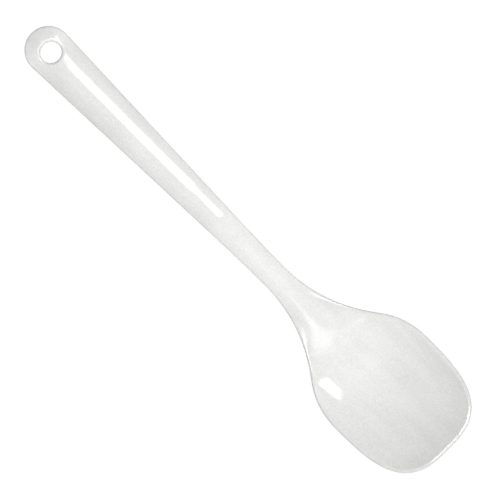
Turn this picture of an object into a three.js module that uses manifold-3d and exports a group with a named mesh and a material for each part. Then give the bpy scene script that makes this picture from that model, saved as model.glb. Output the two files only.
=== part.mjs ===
// Salad serving spoon, moulded in one piece: a domed, tapered handle with a hanging hole runs through a
// narrow neck into a shallow bowl with a squared tip. Millimetres, +Z up. The spoon lies on its bowl and on
// the end of its handle, with the bowl towards +X and the origin under the middle of its length.

import * as THREE from "three";
import { mergeVertices } from "three/addons/utils/BufferGeometryUtils.js";
import Module from "manifold-3d";

// Lengths along the spoon
const HANDLE_LENGTH = 163.5; // from the hanging end to the narrowest place of the neck
const BOWL_LENGTH = 116.5; // from the neck to the tip
const NECK_EASE = 28; // the straight sides of the handle ease into the neck over this length
const FLARE_LENGTH = 48.5; // from the neck to where the shoulders spread fastest
const WIDEST_TO_TIP = 44.5; // from the widest place of the bowl to the tip
const DEEPEST_TO_TIP = 36.5; // from where the bowl is deepest below its edges to the tip
const END_DOME = 25; // towards the hanging end the handle's dome flattens out over this length
const END_ROLL = 10; // the hanging end rolls down over this length

// Widths across the spoon
const END_WIDTH = 22.9;
const NECK_WIDTH = 12.6;
const FLARE_WIDTH = 46.2;
const BOWL_WIDTH = 61.4;
const FLARE_ANGLE = 36.5; // degrees from the centre line where the shoulders spread fastest

// Side view
const END_ANGLE = 20; // degrees by which the rolled end climbs at first
const HANDLE_ANGLE = 6.2; // degrees by which the handle climbs from its hanging end
const NECK_ANGLE = 8; // degrees by which the neck then falls towards the bowl
const NECK_BEND = 26; // length in which the climb turns into the fall
const NECK_FALL = 18; // from the end of that bend to the narrowest place of the neck
const TIP_LIFT = 1.2; // the tip's edge above the edges at the bowl's sides
const TIP_ANGLE = 3; // degrees by which the edge still climbs at the tip

// Sections
const HANDLE_THICKNESS = 6.4;
const HANDLE_EDGE = 2.6; // upright thickness of the handle at its edges
const HANDLE_CROWN = 2.9; // rise of the domed upper face above its edges
const NECK_THICKNESS = 5.6;
const NECK_CROWN = 0.83;
const FLARE_DEPTH = 1.2; // hollow below the edges where the shoulders spread fastest
const SINK_ANGLE = 9; // degrees by which the hollow deepens there
const BOWL_DEPTH = 4.6; // hollow of the bowl below the edges at its sides
const BOWL_WALL = 3;
const BOWL_EDGE = 4.2; // upright thickness of the bowl's wall at its edge
const HANDLE_RIM = 0.9; // width of the edge beyond the upper face, seen from above
const BOWL_RIM = 1.7;
const REST_FLAT = 0.25; // depth of the flats on which the bowl and the handle's end rest

// Hanging hole
const HOLE_DIAMETER = 10.4;
const HOLE_FROM_END = 13.1; // centre of the hole from the hanging end
const HOLE_ROUND = 1.3; // radius of the rounding at both mouths
const HOLE_ROUND_ANGLE = 65; // degrees through which the rounding turns before it meets the face

// Form of the curves
const TIP_POWER = 3.1; // squareness of the tip's outline; 2 is an ellipse
const HANDLE_POWER = 2; // section of the handle: a parabola
const BOWL_POWER = 3.5; // section of the bowl: a flatter floor between steeper walls
const SCOOP_POWER = 3; // climb of the bowl's floor from its widest place to the tip

// Form of the edge
const EDGE_REACH = 1.229; // pull of the upper corner, in rim widths, which brings the edge to the outline
const EDGE_SWEEP = 0.9; // how long the edge follows the lower face, in rim widths
const EDGE_CORNER = 0.3; // the smaller, the crisper the turn from the upper face

// Fineness of the faces
const ROWS = 64;
const COLUMNS = 20;
const EDGE_STEPS = 8;
const ROW_CROWDING = 0.7; // 0 spaces the rows evenly; towards 1 they crowd at both ends
const HOLE_SIDES = 40;
const HOLE_ROUND_STEPS = 4;

const LENGTH = HANDLE_LENGTH + BOWL_LENGTH;
const NECK_X = HANDLE_LENGTH;
const FLARE_X = NECK_X + FLARE_LENGTH;
const WIDEST_X = LENGTH - WIDEST_TO_TIP;
const DEEPEST_X = LENGTH - DEEPEST_TO_TIP;
const slope = (degrees) => Math.tan(THREE.MathUtils.degToRad(degrees));

// A smooth curve through knots, each stretch a cubic. A knot holds x, the value there and the slope there.
function through(x, knots) {
  const last = knots.length - 1;
  const next = knots.findIndex((knot, i) => i > 0 && (x <= knot[0] || i === last));
  const [x0, y0, slope0] = knots[next - 1];
  const [x1, y1, slope1] = knots[next];
  const span = x1 - x0;
  const t = (x - x0) / span;
  const blend = t * t * (3 - 2 * t);
  return y0 + (y1 - y0) * blend + span * t * (1 - t) * (slope0 * (1 - t) - slope1 * t);
}

// A size of the section that eases from handle to neck and from neck to bowl.
function eased(x, handle, neck, bowl) {
  return through(x, [
    [0, handle, 0],
    [NECK_X, neck, 0],
    [WIDEST_X, bowl, 0],
    [LENGTH, bowl, 0],
  ]);
}

const rimWidth = (x) => eased(x, HANDLE_RIM, HANDLE_RIM, BOWL_RIM);

// The upper face stops short of the outline by the width of the rim.
const END_CENTRE = END_WIDTH / 2;
const END_RADIUS = END_WIDTH / 2 - HANDLE_RIM;
const NECK_HALF = NECK_WIDTH / 2 - HANDLE_RIM;
const FLARE_HALF = FLARE_WIDTH / 2 - rimWidth(FLARE_X);
const BOWL_HALF = BOWL_WIDTH / 2 - BOWL_RIM;
const TIP_REACH = WIDEST_TO_TIP - BOWL_RIM;

// A straight side touches the arc of the hanging end and aims at the neck's width, half an ease early.
const aim = new THREE.Vector2(NECK_X - NECK_EASE / 2 - END_CENTRE, NECK_HALF);
const taper = Math.asin(END_RADIUS / aim.length()) - aim.angle();
const TOUCH_X = END_CENTRE + END_RADIUS * Math.sin(taper);
const EASE_X = NECK_X - NECK_EASE;
const straightSide = (x) => END_RADIUS / Math.cos(taper) - (x - END_CENTRE) * Math.tan(taper);

// Half the width of the upper face, by distance from the hanging end.
function halfWidth(x) {
  if (x < TOUCH_X) {
    return Math.sqrt(Math.max(0, END_RADIUS ** 2 - (x - END_CENTRE) ** 2));
  }
  if (x < EASE_X) {
    return straightSide(x);
  }
  if (x > WIDEST_X) {
    const along = Math.min(1, (x - WIDEST_X) / TIP_REACH);
    return BOWL_HALF * (1 - along ** TIP_POWER) ** (1 / TIP_POWER);
  }
  return through(x, [
    [EASE_X, straightSide(EASE_X), -Math.tan(taper)],
    [NECK_X, NECK_HALF, 0],
    [FLARE_X, FLARE_HALF, slope(FLARE_ANGLE)],
    [WIDEST_X, BOWL_HALF, 0],
  ]);
}

// Where the arc of the hanging end and the curve of the tip stand, by distance from the centre line.
function endArc(y) {
  return END_CENTRE - Math.sqrt(END_RADIUS ** 2 - y ** 2);
}

function tipCurve(y) {
  const across = Math.abs(y) / BOWL_HALF;
  return WIDEST_X + TIP_REACH * (1 - across ** TIP_POWER) ** (1 / TIP_POWER);
}

// Height of the upper edge above the table: the handle climbs straight, arches over and falls to the bowl.
const FALL_X = NECK_X - NECK_FALL;
const STRAIGHT_X = FALL_X - NECK_BEND;
const rollHeight = HANDLE_THICKNESS - HANDLE_CROWN - REST_FLAT;
const endHeight = rollHeight - (END_ROLL * (slope(END_ANGLE) + slope(HANDLE_ANGLE))) / 2;
const straightHeight = rollHeight + (STRAIGHT_X - END_ROLL) * slope(HANDLE_ANGLE);
const fallHeight = straightHeight + (NECK_BEND * (slope(HANDLE_ANGLE) - slope(NECK_ANGLE))) / 2;
const sideHeight = BOWL_DEPTH + BOWL_WALL - REST_FLAT;

function edgeHeight(x) {
  return through(x, [
    [0, endHeight, slope(END_ANGLE)],
    [END_ROLL, rollHeight, slope(HANDLE_ANGLE)],
    [STRAIGHT_X, straightHeight, slope(HANDLE_ANGLE)],
    [FALL_X, fallHeight, -slope(NECK_ANGLE)],
    [FLARE_X, sideHeight, 0],
    [WIDEST_X, sideHeight, 0],
    [LENGTH, sideHeight + TIP_LIFT, slope(TIP_ANGLE)],
  ]);
}

// Rise of the upper face above its edges on the centre line, which is a fall in the bowl.
function crown(x) {
  return through(x, [
    [0, HANDLE_CROWN, 0],
    [NECK_X, NECK_CROWN, 0],
    [FLARE_X, -FLARE_DEPTH, -slope(SINK_ANGLE)],
    [DEEPEST_X, -BOWL_DEPTH, 0],
    [LENGTH, -BOWL_DEPTH, 0],
  ]);
}

// Share of the crown at a place: all of it on the centre line and none along the sides. At the hanging end
// the dome flattens out, and at the tip the bowl's floor climbs to the edge.
function fullness(x, y) {
  const half = halfWidth(x);
  const across = half > 0 ? Math.min(1, Math.abs(y) / half) : 1;
  const fromEnd = Math.min(1, Math.max(0, x - HANDLE_RIM) / END_DOME);
  const dome = 1 - (1 - fromEnd) ** 2;
  const toTip = Math.min(1, Math.max(0, x - WIDEST_X) / TIP_REACH);
  const section = 1 - dome * across ** eased(x, HANDLE_POWER, HANDLE_POWER, BOWL_POWER);
  return section * (1 - toTip ** SCOOP_POWER);
}

function upperFace(x, y) {
  return edgeHeight(x) + crown(x) * fullness(x, y);
}

// The lower face keeps the thickness at the sides and on the centre line, and is flat on the table.
function lowerFace(x, y) {
  const edge = eased(x, HANDLE_EDGE, HANDLE_EDGE, BOWL_EDGE);
  const middle = eased(x, HANDLE_THICKNESS, NECK_THICKNESS, BOWL_WALL);
  return Math.max(0, edgeHeight(x) - edge - (middle - edge - crown(x)) * fullness(x, y));
}

// Rows run across the spoon. The first row is the arc of the hanging end and the last row is the curve of
// the tip, each from corner to corner. The rows between them straighten out.
const END_CORNER_Y = END_RADIUS * Math.SQRT1_2;
const END_CORNER_X = endArc(END_CORNER_Y);
const TIP_CORNER_Y = BOWL_HALF * 0.5 ** (1 / TIP_POWER);
const TIP_CORNER_X = tipCurve(TIP_CORNER_Y);

function planPoint(u, v) {
  const crowded = u - (ROW_CROWDING * Math.sin(2 * Math.PI * u)) / (2 * Math.PI);
  const row = THREE.MathUtils.lerp(END_CORNER_X, TIP_CORNER_X, crowded);
  const nearEnd = 1 - THREE.MathUtils.smoothstep(row, END_CORNER_X, END_WIDTH);
  const nearTip = THREE.MathUtils.smoothstep(row, WIDEST_X, TIP_CORNER_X);
  const endBow = endArc(v * END_CORNER_Y) - END_CORNER_X;
  const tipBow = tipCurve(v * TIP_CORNER_Y) - TIP_CORNER_X;
  return new THREE.Vector2(row + nearEnd * endBow + nearTip * tipBow, v * halfWidth(row));
}

// Direction out of the outline in plan.
function outward(u, v) {
  const step = 1e-4;
  const onSide = Math.abs(v) === 1;
  const before = onSide ? planPoint(Math.max(0, u - step), v) : planPoint(u, v - step);
  const after = onSide ? planPoint(Math.min(1, u + step), v) : planPoint(u, v + step);
  const along = after.sub(before).normalize();
  const turn = onSide ? v : 1 - 2 * u;
  return new THREE.Vector2(-along.y * turn, along.x * turn);
}

// The edge: a narrow land, which follows the upper face where it falls and is level round the bowl, then a
// crisp turn and a sweep into the lower face. Depth 1 is the upper face and depth 0 the lower face.
function edgePoint(u, v, depth) {
  const plan = planPoint(u, v);
  const out = outward(u, v);
  const rim = rimWidth(plan.x);
  const probe = 0.05;
  const inside = plan.clone().addScaledVector(out, -probe);
  const upper = upperFace(plan.x, plan.y);
  const lower = lowerFace(plan.x, plan.y);
  const land = Math.min(0, (upper - upperFace(inside.x, inside.y)) / probe);
  const sweep = (lower - lowerFace(inside.x, inside.y)) / probe;
  const brink = upper + land * EDGE_REACH * rim;
  const at = (share, height) => {
    const place = plan.clone().addScaledVector(out, share * rim);
    return new THREE.Vector3(place.x, place.y, height);
  };
  let points = [
    at(0, upper),
    at(EDGE_REACH, brink),
    at(EDGE_REACH, brink - EDGE_CORNER),
    at(EDGE_SWEEP, lower + sweep * EDGE_SWEEP * rim),
    at(0, lower),
  ];
  while (points.length > 1) {
    const left = points;
    points = left.slice(1).map((point, i) => left[i].clone().lerp(point, 1 - depth));
  }
  return points[0];
}

// The skin starts as a box with a grid on every side. Its top and bottom become the upper and lower faces
// and its four walls become the edge.
function makeSkin() {
  const skin = new THREE.BoxGeometry(1, 2, 1, ROWS, COLUMNS, EDGE_STEPS).translate(0.5, 0, 0.5);
  const points = skin.getAttribute("position");
  for (let i = 0; i < points.count; i += 1) {
    const u = points.getX(i);
    const v = points.getY(i);
    const depth = points.getZ(i);
    if (Math.abs(v) === 1 || u === 0 || u === 1) {
      const edge = edgePoint(u, v, depth);
      points.setXYZ(i, edge.x, edge.y, edge.z);
    } else {
      const plan = planPoint(u, v);
      const face = depth === 1 ? upperFace : lowerFace;
      points.setXYZ(i, plan.x, plan.y, face(plan.x, plan.y));
    }
  }
  return skin;
}

// Radius and height of one ring of the hole's mouth, counted from the bore. Height 0 is the handle's face.
// The ring past the rounding carries it on beyond the face.
function mouthRing(count) {
  const turned = Math.min(count, HOLE_ROUND_STEPS) / HOLE_ROUND_STEPS;
  const full = THREE.MathUtils.degToRad(HOLE_ROUND_ANGLE);
  const angle = full * turned;
  const beyond = count > HOLE_ROUND_STEPS ? HOLE_ROUND : 0;
  return {
    radius: HOLE_DIAMETER / 2 + HOLE_ROUND * (1 - Math.cos(angle)) + beyond * Math.sin(full),
    height: HOLE_ROUND * (Math.sin(angle) - Math.sin(full)) + beyond * Math.cos(full),
  };
}

// A pin that flares at both ends to follow the handle's faces, for cutting the hole with rounded mouths.
function makeHolePin() {
  const rings = HOLE_ROUND_STEPS + 2;
  const pin = new THREE.CylinderGeometry(1, 1, 2, HOLE_SIDES, 2 * rings - 1).rotateX(Math.PI / 2);
  const points = pin.getAttribute("position");
  for (let i = 0; i < points.count; i += 1) {
    const level = points.getZ(i) * (rings - 0.5);
    const ring = mouthRing(Math.round(Math.abs(level) - 0.5));
    const x = HOLE_FROM_END + ring.radius * points.getX(i);
    const y = ring.radius * points.getY(i);
    const z = level > 0 ? upperFace(x, y) + ring.height : lowerFace(x, y) - ring.height;
    points.setXYZ(i, x, y, z);
  }
  return pin;
}

const wasm = await Module();
wasm.setup();

function toSolid(geometry) {
  geometry.deleteAttribute("normal");
  geometry.deleteAttribute("uv");
  const welded = mergeVertices(geometry, 1e-5);
  const vertProperties = new Float32Array(welded.getAttribute("position").array);
  const triVerts = new Uint32Array(welded.getIndex().array);
  return new wasm.Manifold(new wasm.Mesh({ numProp: 3, vertProperties, triVerts }));
}

function toGeometry(solid) {
  const { vertProperties, triVerts } = solid.getMesh();
  const geometry = new THREE.BufferGeometry();
  geometry.setAttribute("position", new THREE.BufferAttribute(vertProperties, 3));
  geometry.setIndex(new THREE.BufferAttribute(triVerts, 1));
  geometry.computeVertexNormals();
  return geometry;
}

const melamine = new THREE.MeshStandardMaterial({ name: "melamine", color: 0xf2f2f0, roughness: 0.2 });
const spoon = new THREE.Mesh(toGeometry(toSolid(makeSkin()).subtract(toSolid(makeHolePin()))), melamine);
spoon.name = "spoon";
spoon.position.x = -LENGTH / 2;

const servingSpoon = new THREE.Group();
servingSpoon.name = "salad_serving_spoon";
servingSpoon.add(spoon);

export default servingSpoon;
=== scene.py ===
"""Salad serving spoon, one white moulding that lies on a white table and is seen from straight above."""

import math

import bmesh
import bpy
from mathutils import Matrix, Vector


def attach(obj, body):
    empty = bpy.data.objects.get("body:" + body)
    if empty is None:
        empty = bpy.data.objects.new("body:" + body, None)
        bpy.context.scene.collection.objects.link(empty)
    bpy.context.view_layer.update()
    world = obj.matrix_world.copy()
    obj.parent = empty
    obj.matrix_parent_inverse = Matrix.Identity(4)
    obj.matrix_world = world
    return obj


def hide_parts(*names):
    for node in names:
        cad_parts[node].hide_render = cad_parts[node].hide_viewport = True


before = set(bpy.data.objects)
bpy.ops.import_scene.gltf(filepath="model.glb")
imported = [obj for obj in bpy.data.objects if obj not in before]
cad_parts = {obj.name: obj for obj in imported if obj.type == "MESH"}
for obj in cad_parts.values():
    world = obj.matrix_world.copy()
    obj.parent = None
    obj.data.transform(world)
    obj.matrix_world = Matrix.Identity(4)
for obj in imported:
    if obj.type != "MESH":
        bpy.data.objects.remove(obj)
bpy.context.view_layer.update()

MM = 0.001

# Sizes of the spoon in millimetres, the same as in the CAD part. First the lengths along it.
HANDLE_LENGTH = 163.5
BOWL_LENGTH = 116.5
NECK_EASE = 28
NECK_BEND = 26
NECK_FALL = 18
FLARE_LENGTH = 48.5
WIDEST_TO_TIP = 44.5
DEEPEST_TO_TIP = 36.5
END_DOME = 25
END_ROLL = 10

# Widths across it.
END_WIDTH = 22.9
NECK_WIDTH = 12.6
FLARE_WIDTH = 46.2
BOWL_WIDTH = 61.4

# Heights and thicknesses.
HANDLE_THICKNESS = 6.4
HANDLE_EDGE = 2.6
HANDLE_CROWN = 2.9
NECK_THICKNESS = 5.6
NECK_CROWN = 0.83
FLARE_DEPTH = 1.2
BOWL_DEPTH = 4.6
BOWL_WALL = 3
BOWL_EDGE = 4.2
TIP_LIFT = 1.2
REST_FLAT = 0.25

# The rim and the hanging hole.
HANDLE_RIM = 0.9
BOWL_RIM = 1.7
EDGE_CORNER = 0.3
HOLE_DIAMETER = 10.4
HOLE_FROM_END = 13.1
HOLE_ROUND = 1.3

# Slopes in degrees: the flare's in plan, the others in the side view.
FLARE_ANGLE = 36.5
END_ANGLE = 20
HANDLE_ANGLE = 6.2
NECK_ANGLE = 8
SINK_ANGLE = 9
TIP_ANGLE = 3

# How square the tip, the sections and the scoop are, and the shares of the rim's width that shape its edge.
TIP_POWER = 3.1
HANDLE_POWER = 2
BOWL_POWER = 3.5
SCOOP_POWER = 3
EDGE_REACH = 1.229
EDGE_SWEEP = 0.9

# Fineness of the skin: its grid, how much the rows crowd towards both ends, and the rings round the hole.
ROWS = 220
COLUMNS = 60
EDGE_STEPS = 14
ROW_CROWDING = 0.6
HOLE_LAND = 1.2
HOLE_LAND_STEPS = 5
HOLE_ROUND_STEPS = 10

# Places along the spoon, from its hanging end.
LENGTH = HANDLE_LENGTH + BOWL_LENGTH
NECK_X = HANDLE_LENGTH
FLARE_X = NECK_X + FLARE_LENGTH
WIDEST_X = LENGTH - WIDEST_TO_TIP
DEEPEST_X = LENGTH - DEEPEST_TO_TIP
END_CENTRE = END_WIDTH / 2


def slope(degrees):
    return math.tan(math.radians(degrees))


def smoothstep(x, low, high):
    t = min(1.0, max(0.0, (x - low) / (high - low)))
    return t * t * (3 - 2 * t)


def through(x, knots):
    """A smooth curve through knots of (x, value, slope), each stretch a cubic."""
    start, stop = next((pair for pair in zip(knots, knots[1:]) if x <= pair[1][0]), knots[-2:])
    span = stop[0] - start[0]
    t = (x - start[0]) / span
    blend = t * t * (3 - 2 * t)
    bend = span * t * (1 - t) * (start[2] * (1 - t) - stop[2] * t)
    return start[1] + (stop[1] - start[1]) * blend + bend


def eased(x, handle, neck, bowl):
    """A size of the section that eases from handle to neck and from neck to bowl."""
    return through(x, [(0, handle, 0), (NECK_X, neck, 0), (WIDEST_X, bowl, 0), (LENGTH, bowl, 0)])


def rim_width(x):
    """Width of the rim beyond the upper and lower faces, seen from above."""
    return eased(x, HANDLE_RIM, HANDLE_RIM, BOWL_RIM)


# The faces stop short of the outline by the width of the rim.
END_RADIUS = END_WIDTH / 2 - HANDLE_RIM
NECK_HALF = NECK_WIDTH / 2 - HANDLE_RIM
FLARE_HALF = FLARE_WIDTH / 2 - rim_width(FLARE_X)
BOWL_HALF = BOWL_WIDTH / 2 - BOWL_RIM
TIP_REACH = WIDEST_TO_TIP - BOWL_RIM

# Plan: the straight sides of the handle touch the arc of its end and aim at the neck.
EASE_X = NECK_X - NECK_EASE
AIM = Vector((NECK_X - NECK_EASE / 2 - END_CENTRE, NECK_HALF))
TAPER = math.asin(END_RADIUS / AIM.length) - math.atan2(AIM.y, AIM.x)
TOUCH_X = END_CENTRE + END_RADIUS * math.sin(TAPER)


def straight_side(x):
    """Half the width of the handle along its straight sides."""
    return END_RADIUS / math.cos(TAPER) - (x - END_CENTRE) * math.tan(TAPER)


def half_width(x):
    """Half the width of the faces: the end's arc, the handle, the neck, the flare and the squared tip."""
    if x < TOUCH_X:
        return math.sqrt(max(0.0, END_RADIUS**2 - (x - END_CENTRE) ** 2))
    if x < EASE_X:
        return straight_side(x)
    if x > WIDEST_X:
        along = min(1.0, (x - WIDEST_X) / TIP_REACH)
        return BOWL_HALF * (1 - along**TIP_POWER) ** (1 / TIP_POWER)
    knots = [
        (EASE_X, straight_side(EASE_X), -math.tan(TAPER)),
        (NECK_X, NECK_HALF, 0),
        (FLARE_X, FLARE_HALF, slope(FLARE_ANGLE)),
        (WIDEST_X, BOWL_HALF, 0),
    ]
    return through(x, knots)


def end_arc(y):
    """Where the faces begin at the hanging end, beside the centre line."""
    return END_CENTRE - math.sqrt(END_RADIUS**2 - y**2)


def tip_curve(y):
    """Where the faces stop at the tip, beside the centre line."""
    across = abs(y) / BOWL_HALF
    return WIDEST_X + TIP_REACH * (1 - across**TIP_POWER) ** (1 / TIP_POWER)


# Side view: the handle climbs straight from its end, arches over and falls through the neck to the bowl.
FALL_X = NECK_X - NECK_FALL
STRAIGHT_X = FALL_X - NECK_BEND
ROLL_HEIGHT = HANDLE_THICKNESS - HANDLE_CROWN - REST_FLAT
END_HEIGHT = ROLL_HEIGHT - END_ROLL * (slope(END_ANGLE) + slope(HANDLE_ANGLE)) / 2
STRAIGHT_HEIGHT = ROLL_HEIGHT + (STRAIGHT_X - END_ROLL) * slope(HANDLE_ANGLE)
FALL_HEIGHT = STRAIGHT_HEIGHT + NECK_BEND * (slope(HANDLE_ANGLE) - slope(NECK_ANGLE)) / 2
SIDE_HEIGHT = BOWL_DEPTH + BOWL_WALL - REST_FLAT
EDGE_LINE = [
    (0, END_HEIGHT, slope(END_ANGLE)),
    (END_ROLL, ROLL_HEIGHT, slope(HANDLE_ANGLE)),
    (STRAIGHT_X, STRAIGHT_HEIGHT, slope(HANDLE_ANGLE)),
    (FALL_X, FALL_HEIGHT, -slope(NECK_ANGLE)),
    (FLARE_X, SIDE_HEIGHT, 0),
    (WIDEST_X, SIDE_HEIGHT, 0),
    (LENGTH, SIDE_HEIGHT + TIP_LIFT, slope(TIP_ANGLE)),
]

# The upper face stands above its edges along the handle and sinks below them in the bowl.
CROWN_LINE = [
    (0, HANDLE_CROWN, 0),
    (NECK_X, NECK_CROWN, 0),
    (FLARE_X, -FLARE_DEPTH, -slope(SINK_ANGLE)),
    (DEEPEST_X, -BOWL_DEPTH, 0),
    (LENGTH, -BOWL_DEPTH, 0),
]


def fullness(x, y):
    """Share of the crown or hollow. It falls off to the sides, less near the hanging end, and to the tip."""
    half = half_width(x)
    across = min(1.0, abs(y) / half) if half > 0 else 1.0
    from_end = min(1.0, max(0.0, x - HANDLE_RIM) / END_DOME)
    dome = 1 - (1 - from_end) ** 2
    to_tip = min(1.0, max(0.0, x - WIDEST_X) / TIP_REACH)
    section = 1 - dome * across ** eased(x, HANDLE_POWER, HANDLE_POWER, BOWL_POWER)
    return section * (1 - to_tip**SCOOP_POWER)


def upper_face(x, y):
    return through(x, EDGE_LINE) + through(x, CROWN_LINE) * fullness(x, y)


def lower_face(x, y):
    """The lower face keeps the thickness at the edge and on the centre line, and is flat on the table."""
    edge = eased(x, HANDLE_EDGE, HANDLE_EDGE, BOWL_EDGE)
    middle = eased(x, HANDLE_THICKNESS, NECK_THICKNESS, BOWL_WALL)
    sunk = edge + (middle - edge - through(x, CROWN_LINE)) * fullness(x, y)
    return max(0.0, through(x, EDGE_LINE) - sunk)


# Rows run across the spoon, from the arc of the hanging end to the curve of the tip.
END_CORNER_Y = END_RADIUS * math.sqrt(0.5)
END_CORNER_X = end_arc(END_CORNER_Y)
TIP_CORNER_Y = BOWL_HALF * 0.5 ** (1 / TIP_POWER)
TIP_CORNER_X = tip_curve(TIP_CORNER_Y)


def plan_point(u, v):
    """Place in plan of a point of the grid: u runs 0 to 1 from end to tip, v -1 to 1 from side to side."""
    crowded = u - ROW_CROWDING * math.sin(2 * math.pi * u) / (2 * math.pi)
    row = END_CORNER_X + (TIP_CORNER_X - END_CORNER_X) * crowded
    near_end = 1 - smoothstep(row, END_CORNER_X, END_WIDTH)
    near_tip = smoothstep(row, WIDEST_X, TIP_CORNER_X)
    end_bow = end_arc(v * END_CORNER_Y) - END_CORNER_X
    tip_bow = tip_curve(v * TIP_CORNER_Y) - TIP_CORNER_X
    return Vector((row + near_end * end_bow + near_tip * tip_bow, v * half_width(row)))


def outward(u, v):
    """Direction out of the outline in plan."""
    step = 1e-4
    if abs(v) == 1:
        along = plan_point(min(1.0, u + step), v) - plan_point(max(0.0, u - step), v)
        turn = v
    else:
        along = plan_point(u, v + step) - plan_point(u, v - step)
        turn = 1 - 2 * u
    along.normalize()
    return Vector((-along.y * turn, along.x * turn))


def edge_point(u, v, depth):
    """The rim: a narrow land, a crisp turn and a sweep into the lower face. Depth 1 is above, 0 below."""
    plan = plan_point(u, v)
    out = outward(u, v)
    stand_out = rim_width(plan.x)
    probe = 0.05
    inside = plan - out * probe
    high = upper_face(plan.x, plan.y)
    low = lower_face(plan.x, plan.y)
    land = min(0.0, (high - upper_face(inside.x, inside.y)) / probe)
    sweep = (low - lower_face(inside.x, inside.y)) / probe

    def at(share, height):
        away = out * share * stand_out
        return Vector((plan.x + away.x, plan.y + away.y, height))

    brink = high + land * EDGE_REACH * stand_out
    points = [
        at(0, high),
        at(EDGE_REACH, brink),
        at(EDGE_REACH, brink - EDGE_CORNER),
        at(EDGE_SWEEP, low + sweep * EDGE_SWEEP * stand_out),
        at(0, low),
    ]
    # The points steer one smooth curve. Blending neighbours until one is left gives its point at this depth.
    while len(points) > 1:
        points = [one.lerp(other, 1 - depth) for one, other in zip(points, points[1:])]
    return points[0]


def skin_point(u, v, depth):
    """Place of a point of the grid on the rim, the upper face or the lower face."""
    if abs(v) == 1 or u in (0, 1):
        return edge_point(u, v, depth)
    plan = plan_point(u, v)
    face = upper_face if depth == 1 else lower_face
    return Vector((plan.x, plan.y, face(plan.x, plan.y)))


def placed(point):
    """From millimetres along the spoon to metres in the frame."""
    return Vector(((point.x - LENGTH / 2) * MM, point.y * MM, point.z * MM))


def make_skin(bm):
    """A cube is cut into a fine grid. Its top and bottom become the faces, its walls the rim."""
    bmesh.ops.create_cube(bm, size=1.0)
    bmesh.ops.translate(bm, verts=bm.verts, vec=(0.5, 0.5, 0.5))
    for axis, pieces in enumerate((ROWS, COLUMNS, EDGE_STEPS)):
        edges = [e for e in bm.edges if abs(e.verts[0].co[axis] - e.verts[1].co[axis]) > 0.5]
        bmesh.ops.subdivide_edges(bm, edges=edges, cuts=pieces - 1, use_grid_fill=True)


def hole_window(bm, depth):
    """The faces of the grid at one depth that the hanging hole and its land take up."""
    chosen = []
    for face in bm.faces:
        u, across, level = face.calc_center_median()
        along = abs(plan_point(u, 0).x - HOLE_FROM_END)
        aside = abs(2 * across - 1) * half_width(HOLE_FROM_END)
        if abs(level - depth) < 1e-4 and max(along, aside) < HOLE_DIAMETER / 2 + HOLE_ROUND + HOLE_LAND:
            chosen.append(face)
    return chosen


def window_rim(window):
    """The edges between a window and the faces around it."""
    inside = set(window)
    edges = {edge for face in window for edge in face.edges}
    return [edge for edge in edges if not inside.issuperset(edge.link_faces)]


def pull_ring(bm, ring, place):
    """Draws a ring of edges out to a new ring, whose points go where place says."""
    made = bmesh.ops.extrude_edge_only(bm, edges=ring)["geom"]
    corners = {item for item in made if isinstance(item, bmesh.types.BMVert)}
    for corner in corners:
        corner.co = place(corner.co)
    return [e for e in made if isinstance(e, bmesh.types.BMEdge) and set(e.verts) <= corners]


def make_mouth(bm, ring, face, up):
    """Rounds one mouth of the hole: a round land on the handle's face, then the rounding into the bore."""
    radius = HOLE_DIAMETER / 2

    def at(co, reach, sunk):
        angle = math.atan2(co.y / MM, (co.x / MM + LENGTH / 2) - HOLE_FROM_END)
        x = HOLE_FROM_END + reach * math.cos(angle)
        y = reach * math.sin(angle)
        return placed(Vector((x, y, face(x, y) - up * sunk)))

    def reach_of(co):
        return math.hypot(co.y / MM, co.x / MM + LENGTH / 2 - HOLE_FROM_END)

    for step in range(1, HOLE_LAND_STEPS + 1):
        left = HOLE_LAND_STEPS + 1 - step
        inner = radius + HOLE_ROUND
        ring = pull_ring(bm, ring, lambda co: at(co, reach_of(co) + (inner - reach_of(co)) / left, 0))
    for step in range(1, HOLE_ROUND_STEPS + 1):
        angle = 0.5 * math.pi * step / HOLE_ROUND_STEPS
        reach = radius + HOLE_ROUND * (1 - math.sin(angle))
        sunk = HOLE_ROUND * (1 - math.cos(angle))
        ring = pull_ring(bm, ring, lambda co: at(co, reach, sunk))
    return ring


def make_spoon():
    bm = bmesh.new()
    make_skin(bm)
    above = hole_window(bm, 1)
    below = hole_window(bm, 0)
    rim_above = window_rim(above)
    rim_below = window_rim(below)
    for vert in bm.verts:
        u, across, depth = vert.co
        vert.co = placed(skin_point(u, 2 * across - 1, depth))
    bmesh.ops.delete(bm, geom=above + below, context="FACES")
    mouth_above = make_mouth(bm, rim_above, upper_face, 1)
    mouth_below = make_mouth(bm, rim_below, lower_face, -1)
    bmesh.ops.bridge_loops(bm, edges=mouth_above + mouth_below)
    bmesh.ops.recalc_face_normals(bm, faces=bm.faces)
    for face in bm.faces:
        face.smooth = True
    mesh = bpy.data.meshes.new("moulded_spoon")
    bm.to_mesh(mesh)
    bm.free()
    spoon = bpy.data.objects.new("moulded_spoon", mesh)
    bpy.context.scene.collection.objects.link(spoon)
    return spoon


def linear(hex_colour):
    """An sRGB hex colour as linear RGBA."""
    parts = [int(hex_colour[i : i + 2], 16) / 255 for i in (1, 3, 5)]
    return [p / 12.92 if p <= 0.04045 else ((p + 0.055) / 1.055) ** 2.4 for p in parts] + [1.0]


def add_node(tree, kind, inputs=None, **settings):
    """Adds a node, sets its properties, and fills or links its inputs. A node stands for its first output."""
    node = tree.nodes.new(kind)
    for name, value in settings.items():
        setattr(node, name, value)
    for name, value in (inputs or {}).items():
        if isinstance(value, bpy.types.Node):
            value = value.outputs[0]
        if isinstance(value, bpy.types.NodeSocket):
            tree.links.new(value, node.inputs[name])
        else:
            node.inputs[name].default_value = value
    return node


def new_material(name):
    material = bpy.data.materials.new(name)
    material.use_nodes = True
    material.node_tree.nodes.clear()
    return material, material.node_tree


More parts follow.
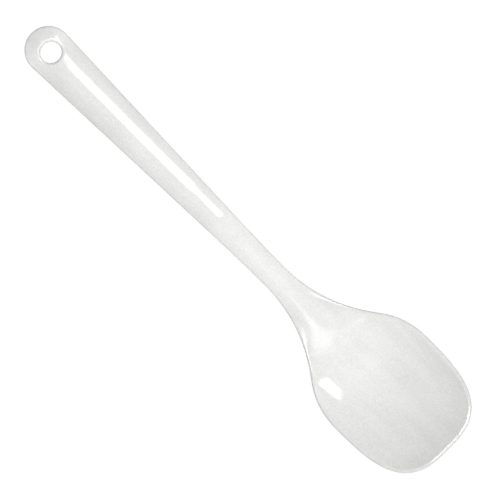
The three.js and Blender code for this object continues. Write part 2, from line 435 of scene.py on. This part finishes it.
# Sizes of the melamine's patterns in millimetres. The flecks of its filler are drawn coarser than they are,
# or they would be too fine to show.
FLECK_SIZE = 0.8
FLOW_WIDTH = 5
FLOW_LENGTH = 33.3
CLOUD_SIZE = 12
WAVE_SIZE = 11
WAVE_HEIGHT = 0.05
GLOSS_PATCH = 4

# Shares of the patterns in the white, and of the flecks in the waves of the surface.
FLECK_SHARE = 1.0
FLOW_SHARE = 0.6
CLOUD_SHARE = 0.25
FLECK_RISE = 0.05


def moulded_melamine():
    """White melamine from a polished mould: a hard gloss over fine flecks, faint clouds and flow marks."""
    material, tree = new_material("moulded_white_melamine")
    place = add_node(tree, "ShaderNodeTexCoord").outputs["Object"]
    # Flow marks run along the spoon, as the resin did.
    drawn = add_node(tree, "ShaderNodeMapping", {"Vector": place, "Scale": (FLOW_WIDTH / FLOW_LENGTH, 1, 1)})
    flecks, flow, clouds, waves, patches = (
        add_node(tree, "ShaderNodeTexNoise", {"Vector": where, "Scale": 1 / (size * MM), "Detail": detail})
        for where, size, detail in (
            (place, FLECK_SIZE, 1),
            (drawn, FLOW_WIDTH, 2),
            (place, CLOUD_SIZE, 2),
            (place, WAVE_SIZE, 1),
            (place, GLOSS_PATCH, 3),
        )
    )

    # The patterns move the white about the middle between its two tones.
    tone = 0.5 * (1 - FLECK_SHARE - FLOW_SHARE - CLOUD_SHARE)
    for pattern, share in ((clouds, CLOUD_SHARE), (flow, FLOW_SHARE), (flecks, FLECK_SHARE)):
        tone = add_node(tree, "ShaderNodeMath", {0: pattern, 1: share, 2: tone}, operation="MULTIPLY_ADD")
    tones = {0: tone, 6: linear("#dcdcdb"), 7: linear("#f8f8f6")}
    white = add_node(tree, "ShaderNodeMix", tones, data_type="RGBA")

    # Where the resin shrank the gloss is a little wavy.
    height = add_node(tree, "ShaderNodeMath", {0: flecks, 1: FLECK_RISE, 2: waves}, operation="MULTIPLY_ADD")
    relief = {"Height": height, "Strength": 0.2, "Distance": WAVE_HEIGHT * MM}
    bump = add_node(tree, "ShaderNodeBump", relief)
    gloss = add_node(tree, "ShaderNodeMapRange", {"Value": patches, "To Min": 0.045, "To Max": 0.08})
    shader = add_node(
        tree,
        "ShaderNodeBsdfPrincipled",
        {"Base Color": white.outputs[2], "Roughness": gloss, "Normal": bump, "IOR": 1.6},
    )
    add_node(tree, "ShaderNodeOutputMaterial", {"Surface": shader})
    return material


# The table reaches far past the picture, a hair below the spoon. Its glow makes it show as white.
TABLE_REACH = 6000
TABLE_DROP = 0.1
TABLE_GLOW = 0.95


def white_table():
    """Matt paper that shows as the white ground: a glow, and a grey that takes the spoon's soft shadow."""
    material, tree = new_material("white_table_paper")
    path = add_node(tree, "ShaderNodeLightPath")
    seen = path.outputs["Is Camera Ray"]
    for kind in ("Is Glossy Ray", "Is Transmission Ray"):
        seen = add_node(tree, "ShaderNodeMath", {0: seen, 1: path.outputs[kind]}, operation="MAXIMUM")
    strength = add_node(tree, "ShaderNodeMath", {0: seen, 1: TABLE_GLOW}, operation="MULTIPLY")
    glow = add_node(tree, "ShaderNodeEmission", {"Color": linear("#ffffff"), "Strength": strength})
    paper = add_node(tree, "ShaderNodeBsdfDiffuse", {"Color": linear("#505050")})
    both = add_node(tree, "ShaderNodeAddShader", {0: paper, 1: glow})
    add_node(tree, "ShaderNodeOutputMaterial", {"Surface": both})
    return material


def make_table():
    bm = bmesh.new()
    bmesh.ops.create_grid(bm, x_segments=1, y_segments=1, size=TABLE_REACH * MM)
    bmesh.ops.translate(bm, verts=bm.verts, vec=(0, 0, -TABLE_DROP * MM))
    mesh = bpy.data.meshes.new("table")
    bm.to_mesh(mesh)
    bm.free()
    mesh.materials.append(white_table())
    table = bpy.data.objects.new("table", mesh)
    bpy.context.scene.collection.objects.link(table)


# The tent's mean light, how much it leans, and to which side: the bowl's. Its share at the table, and the
# sine of the height from which it is full.
TENT_LIGHT = 0.74
TENT_LEAN = 1.28
TENT_SIDE = (0.99, 0.145, 0)
TENT_FOOT = 0.05
TENT_FULL = 0.65

# A soft round panel high in the tent, on the bowl's side: its light, direction and half angle in degrees.
PANEL_LIGHT = 0.5
PANEL_TOWARDS = (0.3677, 0, 1)
PANEL_ANGLE = 14


def light_tent():
    """A white tent, brighter on the bowl's side and around one soft panel, darker down by the table."""
    world = bpy.data.worlds.new("white_tent")
    bpy.context.scene.world = world
    world.use_nodes = True
    tree = world.node_tree
    tree.nodes.clear()
    sight = add_node(tree, "ShaderNodeTexCoord").outputs["Generated"]
    aside, upward, inward = (
        add_node(
            tree,
            "ShaderNodeVectorMath",
            {0: sight, 1: Vector(direction).normalized()},
            operation="DOT_PRODUCT",
        ).outputs["Value"]
        for direction in (TENT_SIDE, (0, 0, 1), PANEL_TOWARDS)
    )
    lean = add_node(
        tree,
        "ShaderNodeMapRange",
        {"Value": aside, "From Min": -1 / TENT_LEAN, "To Max": TENT_LIGHT * (1 + TENT_LEAN)},
    )
    height = add_node(
        tree,
        "ShaderNodeMapRange",
        {"Value": upward, "From Max": TENT_FULL, "To Min": TENT_FOOT},
        interpolation_type="SMOOTHSTEP",
    )
    panel = add_node(
        tree,
        "ShaderNodeMapRange",
        {"Value": inward, "From Min": math.cos(math.radians(PANEL_ANGLE)), "To Max": PANEL_LIGHT},
        interpolation_type="SMOOTHSTEP",
    )
    both = add_node(tree, "ShaderNodeMath", {0: lean, 1: height, 2: panel}, operation="MULTIPLY_ADD")
    glow = add_node(tree, "ShaderNodeBackground", {"Color": linear("#ffffff"), "Strength": both})
    add_node(tree, "ShaderNodeOutputWorld", {"Surface": glow})


# The fill lamp, in millimetres.
FILL_LIGHT = 2.0
FILL_SIZE = 300
FILL_PLACE = (-80, 0, 350)


def add_fill():
    """A soft lamp close above the handle, which lights the handle more than the bowl and shows nowhere."""
    lamp = bpy.data.lights.new("fill_over_handle", "AREA")
    lamp.size = FILL_SIZE * MM
    lamp.energy = FILL_LIGHT * math.pi * lamp.size**2
    fill = bpy.data.objects.new("fill_over_handle", lamp)
    fill.location = Vector(FILL_PLACE) * MM
    fill.visible_glossy = False
    fill.visible_camera = False
    bpy.context.scene.collection.objects.link(fill)


def add_softbox(name, place, size, light, aim=None, turn=0, spread=180):
    """A lamp that only shows in the gloss, placed in millimetres in the spoon's frame.

    It faces its aim, or straight down without one, turned about that line. The turn and the spread, which is
    the fan of its light, are in degrees.
    """
    lamp = bpy.data.lights.new(name, "AREA")
    lamp.shape = "RECTANGLE"
    lamp.size = size[0] * MM
    lamp.size_y = size[1] * MM
    lamp.energy = light * math.pi * lamp.size * lamp.size_y
    lamp.spread = math.radians(spread)
    softbox = bpy.data.objects.new(name, lamp)
    softbox.location = Vector(place) * MM
    softbox.visible_diffuse = False
    softbox.visible_camera = False
    facing = Vector(place) - Vector(aim) if aim else Vector((0, 0, 1))
    softbox.rotation_euler = facing.to_track_quat("Z", "Y").to_euler()
    softbox.rotation_euler.rotate_axis("Z", math.radians(turn))
    bpy.context.scene.collection.objects.link(softbox)


def add_highlights():
    """The bright reflections on the gloss."""
    # The long strip on the handle, and the end of it that tapers off before the neck.
    add_softbox("strip", (-194.5, 116.5, 450), (119, 265), 0.6, aim=(-113.1, 0, 0), turn=-35, spread=30)
    add_softbox("strip_end", (-95.5, 116.5, 450), (79, 150), 0.3, aim=(-19.9, 0, 0), turn=-32.9, spread=20)
    # The bright window in the bowl.
    add_softbox("window", (239.2, 63.3, 257), (140, 40), 6.0, turn=8.5)
    # The sheen on the ridge between neck and bowl, and the thin streak in it.
    add_softbox("sheen", (564.3, 0, 1400), (100, 50), 0.8, turn=45)
    add_softbox("streak", (114, -15, 208), (45, 12), 0.018, aim=(49.9, -3.3, 9), turn=133.3, spread=16)
    # The white lines on the rim, round the tip and on the two shoulders.
    add_softbox("tip_line", (158, 12, 120), (55, 20), 0.57, aim=(138, 8, 8), spread=30)
    add_softbox("left_shoulder_line", (70, -42, 120), (30, 20), 0.1, aim=(64, -17, 7), spread=16)
    add_softbox("right_shoulder_line", (60, 63, 120), (30, 20), 0.1, aim=(53, 11.6, 8), spread=16)


# The camera looks straight down, turned so that the spoon runs from the upper left to the lower right.
CAMERA_PLACE = (6.6, 0.5, 1200)
CAMERA_TURN = 45
FOCAL_LENGTH = 181


def make_camera():
    lens = bpy.data.cameras.new("camera")
    lens.lens = FOCAL_LENGTH
    camera = bpy.data.objects.new("camera", lens)
    camera.location = Vector(CAMERA_PLACE) * MM
    camera.rotation_euler = (0, 0, math.radians(CAMERA_TURN))
    bpy.context.scene.collection.objects.link(camera)
    bpy.context.scene.camera = camera


bpy.context.scene.view_settings.view_transform = "Standard"
make_camera()
make_table()
light_tent()
add_fill()
add_highlights()

spoon = make_spoon()
spoon.data.materials.append(moulded_melamine())
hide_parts("spoon")
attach(spoon, "root")
